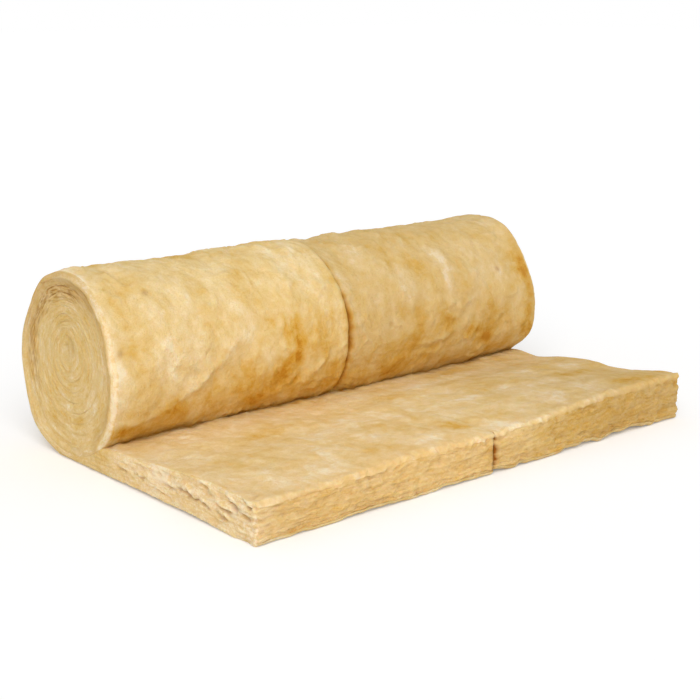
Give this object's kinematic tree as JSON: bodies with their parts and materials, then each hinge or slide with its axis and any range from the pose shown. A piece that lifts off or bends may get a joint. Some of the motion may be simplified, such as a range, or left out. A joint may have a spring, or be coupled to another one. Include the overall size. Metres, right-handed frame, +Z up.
{
  "type": "insulation roll",
  "caption": "Yellow glass-wool insulation roll, partly unrolled, with its free end lying flat and slit lengthways into mats, for laying between joists.",
  "frame": {"origin": "on the floor, in the middle of the ground that the object covers", "axes": "+X along the roll from the left mat to the right one, +Y from the cut free end towards the roll, +Z up from the floor"},
  "size_m": [1.2004, 0.826, 0.392],
  "materials": {
    "glass_wool": "matte"
  },
  "bodies": {
    "root": {"left_mat": "glass_wool", "right_mat": "glass_wool"}
  },
  "joints": []
}
